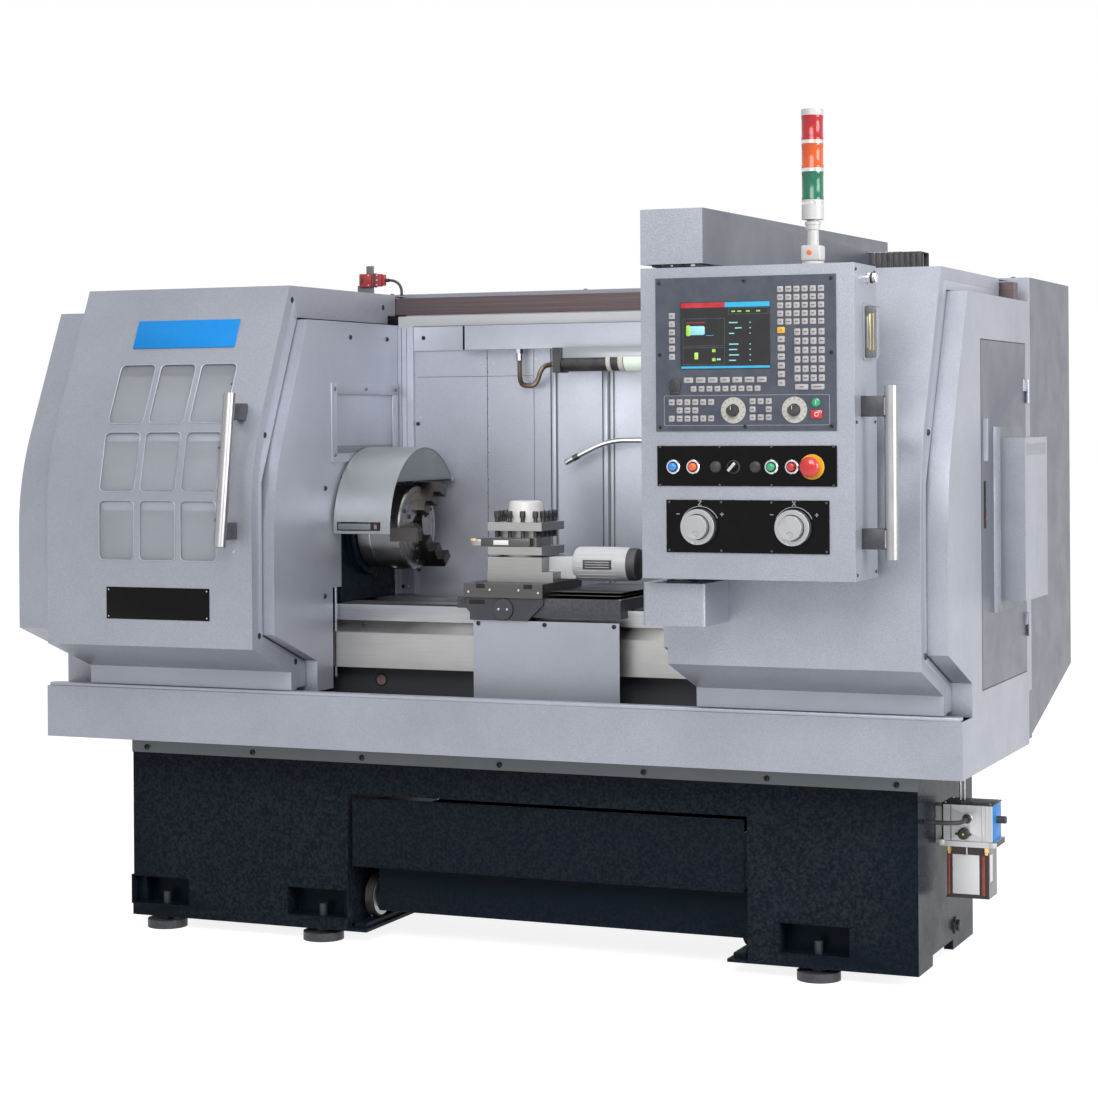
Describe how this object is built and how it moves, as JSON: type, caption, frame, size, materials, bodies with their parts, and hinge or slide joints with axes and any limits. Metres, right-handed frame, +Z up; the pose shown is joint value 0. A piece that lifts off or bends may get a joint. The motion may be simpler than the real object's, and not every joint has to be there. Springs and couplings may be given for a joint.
{
  "type": "cnc turning lathe",
  "caption": "Flat bed lathe with sliding doors, chuck and square turret in a chip tray on a cast base, control pendant on a swivel arm and a roll-out coolant tank.",
  "frame": {"origin": "middle of the footprint, on the floor", "axes": "+X along the bed from headstock to tailstock, +Y from the operator to the rear, +Z up"},
  "size_m": [2.566, 1.712, 2.067],
  "materials": {
    "grey_sheet": "fine hammer texture",
    "dark_casting": "satin, slightly rough",
    "bed_iron": "painted, ground on the ways",
    "bright_steel": "ground",
    "stainless": "brushed",
    "chromed": "polished",
    "off_white": "satin",
    "alu_cap": "machined",
    "panel_grey": "matte membrane",
    "panel_black": "satin black",
    "black_plastic": "matte",
    "blue_plastic": "glossy",
    "orange_plastic": "glossy",
    "green_plastic": "glossy",
    "red_plastic": "glossy",
    "lens_plastic": "translucent",
    "tank_plastic": "translucent brown",
    "window_sheet": "clear sheet",
    "rubber_tread": "matte",
    "tool_steel": "blackened"
  },
  "bodies": {
    "frame": {"machine_base": "dark_casting", "leveling_feet": "tool_steel", "chip_tray": "grey_sheet", "left_end_guard": "grey_sheet", "right_end_guard": "grey_sheet", "rear_wall": "grey_sheet", "door_rail": "bright_steel", "electrical_cabinet": "grey_sheet", "lathe_bed": "bed_iron", "screw_cover": "stainless", "headstock": "dark_casting", "spindle_motor": "dark_casting", "work_light": "black_plastic", "light_conduit": "chromed", "interlock_switch": "red_plastic", "lubricator_pump": "alu_cap", "lubricator_tank": "tank_plastic", "coolant_pipe": "chromed"},
    "left_door": {"left_door": "grey_sheet", "left_door_windows": "window_sheet", "left_door_handle": "chromed"},
    "right_door": {"right_door": "grey_sheet", "upper_arm": "grey_sheet", "lower_arm": "grey_sheet"},
    "pendant": {"pendant_box": "grey_sheet", "cnc_panel": "panel_grey", "switch_panels": "panel_black", "pendant_handle": "chromed", "stack_light_base": "off_white", "stack_lenses": "lens_plastic"},
    "handwheel_z": {"handwheel_z": "black_plastic"},
    "handwheel_x": {"handwheel_x": "black_plastic"},
    "emergency_stop": {"emergency_stop": "red_plastic"},
    "button_blue": {"button_blue": "blue_plastic"},
    "button_orange": {"button_orange": "orange_plastic"},
    "button_green": {"button_green": "green_plastic"},
    "button_red": {"button_red": "red_plastic"},
    "mode_selector": {"mode_selector": "black_plastic"},
    "feed_dial": {"feed_dial": "black_plastic"},
    "speed_dial": {"speed_dial": "black_plastic"},
    "spindle": {"spindle": "bright_steel", "chuck_body": "bright_steel"},
    "jaw_a": {"chuck_jaw_a": "bright_steel"},
    "jaw_b": {"chuck_jaw_b": "bright_steel"},
    "jaw_c": {"chuck_jaw_c": "bright_steel"},
    "chuck_guard": {"chuck_guard": "off_white"},
    "carriage": {"saddle": "dark_casting", "apron_panel": "grey_sheet"},
    "cross_slide": {"cross_slide": "bright_steel", "turret_base": "dark_casting", "turret_motor": "off_white"},
    "turret": {"turret_head": "bright_steel", "turret_cap": "alu_cap", "tooling": "tool_steel"},
    "tailstock": {"tailstock_body": "dark_casting"},
    "quill": {"tailstock_quill": "bright_steel"},
    "tank": {"coolant_tank": "dark_casting"},
    "tank_wheels": {"tank_wheels": "rubber_tread"},
    "side_door": {"side_door": "grey_sheet"},
    "z_screw": {"z_ball_screw": "bright_steel"}
  },
  "joints": [
    {"name": "left_door_slide", "type": "slide", "parent": "frame", "child": "left_door", "axis": [1, 0, 0], "range_m": [0, 0.554]},
    {"name": "right_door_slide", "type": "slide", "parent": "frame", "child": "right_door", "axis": [-1, 0, 0], "range_m": [0, 0.554]},
    {"name": "pendant_swivel", "type": "hinge", "parent": "right_door", "child": "pendant", "pos_m": [0.639, -0.716, 1.36], "axis": [0, 0, 1], "range_deg": [-90, 0]},
    {"name": "handwheel_z_spin", "type": "hinge", "parent": "pendant", "child": "handwheel_z", "pos_m": [0.721, -0.82, 1.134], "axis": [0, -1, 0], "continuous": true},
    {"name": "handwheel_x_spin", "type": "hinge", "parent": "pendant", "child": "handwheel_x", "pos_m": [0.941, -0.82, 1.134], "axis": [0, -1, 0], "continuous": true},
    {"name": "emergency_stop_push", "type": "slide", "parent": "pendant", "child": "emergency_stop", "axis": [0, 1, 0], "range_m": [0, 0.006], "stiffness_N_per_m": 900},
    {"name": "blue_push", "type": "slide", "parent": "pendant", "child": "button_blue", "axis": [0, 1, 0], "range_m": [0, 0.004], "stiffness_N_per_m": 600},
    {"name": "orange_push", "type": "slide", "parent": "pendant", "child": "button_orange", "axis": [0, 1, 0], "range_m": [0, 0.004], "stiffness_N_per_m": 600},
    {"name": "green_push", "type": "slide", "parent": "pendant", "child": "button_green", "axis": [0, 1, 0], "range_m": [0, 0.004], "stiffness_N_per_m": 600},
    {"name": "red_push", "type": "slide", "parent": "pendant", "child": "button_red", "axis": [0, 1, 0], "range_m": [0, 0.004], "stiffness_N_per_m": 600},
    {"name": "mode_selector_turn", "type": "hinge", "parent": "pendant", "child": "mode_selector", "pos_m": [0.8012, -0.82, 1.268], "axis": [0, -1, 0], "range_deg": [-60, 60]},
    {"name": "feed_dial_turn", "type": "hinge", "parent": "pendant", "child": "feed_dial", "pos_m": [0.801, -0.82, 1.393], "axis": [0, -1, 0], "range_deg": [-150, 150]},
    {"name": "speed_dial_turn", "type": "hinge", "parent": "pendant", "child": "speed_dial", "pos_m": [0.943, -0.82, 1.393], "axis": [0, -1, 0], "range_deg": [-150, 150]},
    {"name": "spindle_spin", "type": "hinge", "parent": "frame", "child": "spindle", "pos_m": [-0.369, -0.016, 1.088], "axis": [1, 0, 0], "continuous": true},
    {"name": "jaw_a_slide", "type": "slide", "parent": "spindle", "child": "jaw_a", "axis": [0, 0.3907, 0.9205], "range_m": [-0.006, 0.006]},
    {"name": "jaw_b_slide", "type": "slide", "parent": "spindle", "child": "jaw_b", "axis": [0, -0.9925, -0.1219], "range_m": [-0.006, 0.006]},
    {"name": "jaw_c_slide", "type": "slide", "parent": "spindle", "child": "jaw_c", "axis": [0, 0.6018, -0.7986], "range_m": [-0.006, 0.006]},
    {"name": "chuck_guard_swing", "type": "hinge", "parent": "frame", "child": "chuck_guard", "pos_m": [-0.428, 0.15875, 1.21496], "axis": [-1, 0, 0], "range_deg": [0, 50]},
    {"name": "carriage_travel", "type": "slide", "parent": "frame", "child": "carriage", "axis": [1, 0, 0], "range_m": [-0.17, 0.2]},
    {"name": "feed_screw_spin", "type": "hinge", "parent": "frame", "child": "z_screw", "pos_m": [0.252, -0.191, 0.77], "axis": [1, 0, 0], "continuous": true},
    {"name": "cross_travel", "type": "slide", "parent": "carriage", "child": "cross_slide", "axis": [0, 1, 0], "range_m": [-0.09, 0.16]},
    {"name": "turret_index", "type": "hinge", "parent": "cross_slide", "child": "turret", "pos_m": [-0.003, -0.125, 1.03], "axis": [0, 0, 1], "continuous": true},
    {"name": "tailstock_travel", "type": "slide", "parent": "frame", "child": "tailstock", "axis": [1, 0, 0], "range_m": [-0.15, 0.05]},
    {"name": "quill_travel", "type": "slide", "parent": "tailstock", "child": "quill", "axis": [1, 0, 0], "range_m": [-0.12, 0]},
    {"name": "tank_roll_out", "type": "slide", "parent": "frame", "child": "tank", "axis": [0, -1, 0], "range_m": [0, 0.12]},
    {"name": "tank_wheel_spin", "type": "hinge", "parent": "tank", "child": "tank_wheels", "pos_m": [0.079, -0.111, 0.1093], "axis": [1, 0, 0], "continuous": true},
    {"name": "side_door_hinge", "type": "hinge", "parent": "frame", "child": "side_door", "pos_m": [1.223, 0.28125, 1.142], "axis": [0, 0, 1], "range_deg": [0, 100]}
  ],
  "couplings": [
    {"joint": "jaw_b_slide", "follows": "jaw_a_slide", "ratio": 1},
    {"joint": "jaw_c_slide", "follows": "jaw_a_slide", "ratio": 1},
    {"joint": "feed_screw_spin", "follows": "carriage_travel", "rad_per_m": 628.32},
    {"joint": "tank_wheel_spin", "follows": "tank_roll_out", "rad_per_m": 17.544}
  ]
}
